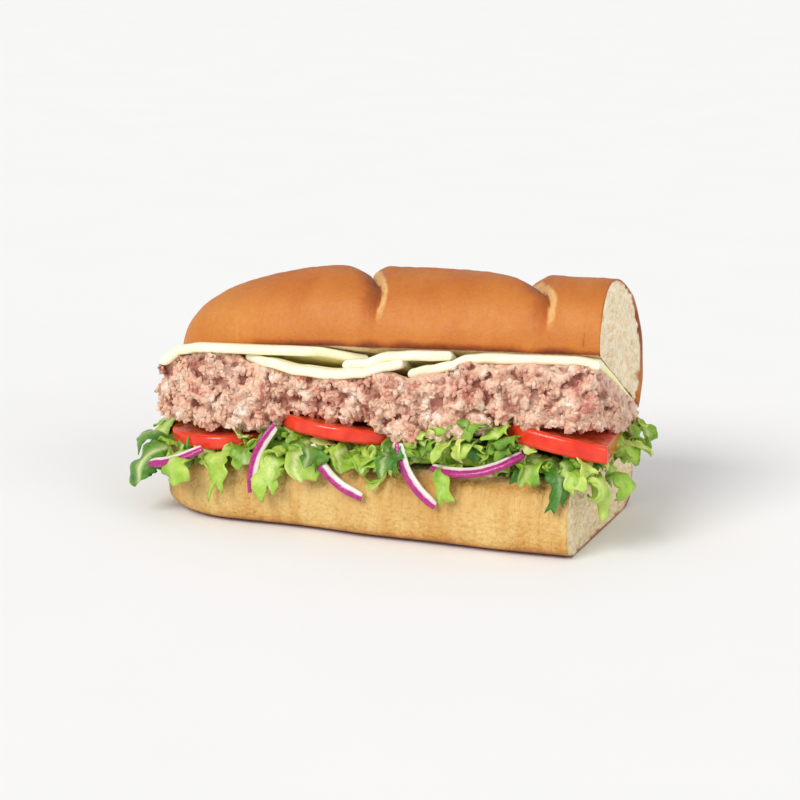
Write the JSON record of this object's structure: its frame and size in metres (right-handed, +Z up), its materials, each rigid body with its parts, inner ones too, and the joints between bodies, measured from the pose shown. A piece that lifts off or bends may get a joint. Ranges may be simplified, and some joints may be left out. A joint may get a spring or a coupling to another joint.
{
  "type": "submarine sandwich",
  "caption": "Filled long roll with a straight cut end: bread halves round shredded lettuce, onion, tomato, tuna salad and white cheese slices, open along one side.",
  "frame": {"origin": "on the table, under the middle of the whole sandwich", "axes": "+X along the roll towards its cut end, -Y towards the open side with the fillings, +Z up"},
  "size_m": [0.1742, 0.1002, 0.0858],
  "materials": {
    "bread_pale": "pale golden baked crust, cream crumb at the cut",
    "bread_crust": "golden brown baked crust with a soft sheen, cream crumb at the cut",
    "cheese": "smooth ivory white, slightly translucent",
    "tomato": "wet glossy red skin and flesh",
    "onion": "white layers with a magenta skin edge, moist",
    "tuna": "pinkish beige flakes bound in creamy dressing, moist",
    "lettuce": "bright yellow-green leaf, paler at the ribs"
  },
  "bodies": {
    "root": {"bread_bottom": "bread_pale", "bread_top": "bread_crust", "cheese_1": "cheese", "cheese_2": "cheese", "cheese_3": "cheese", "cheese_4": "cheese", "tomato_1": "tomato", "tomato_2": "tomato", "tomato_3": "tomato", "onion_1": "onion", "onion_2": "onion", "onion_3": "onion", "onion_4": "onion", "onion_5": "onion", "onion_6": "onion", "onion_7": "onion", "tuna_salad": "tuna", "lettuce": "lettuce"}
  },
  "joints": []
}
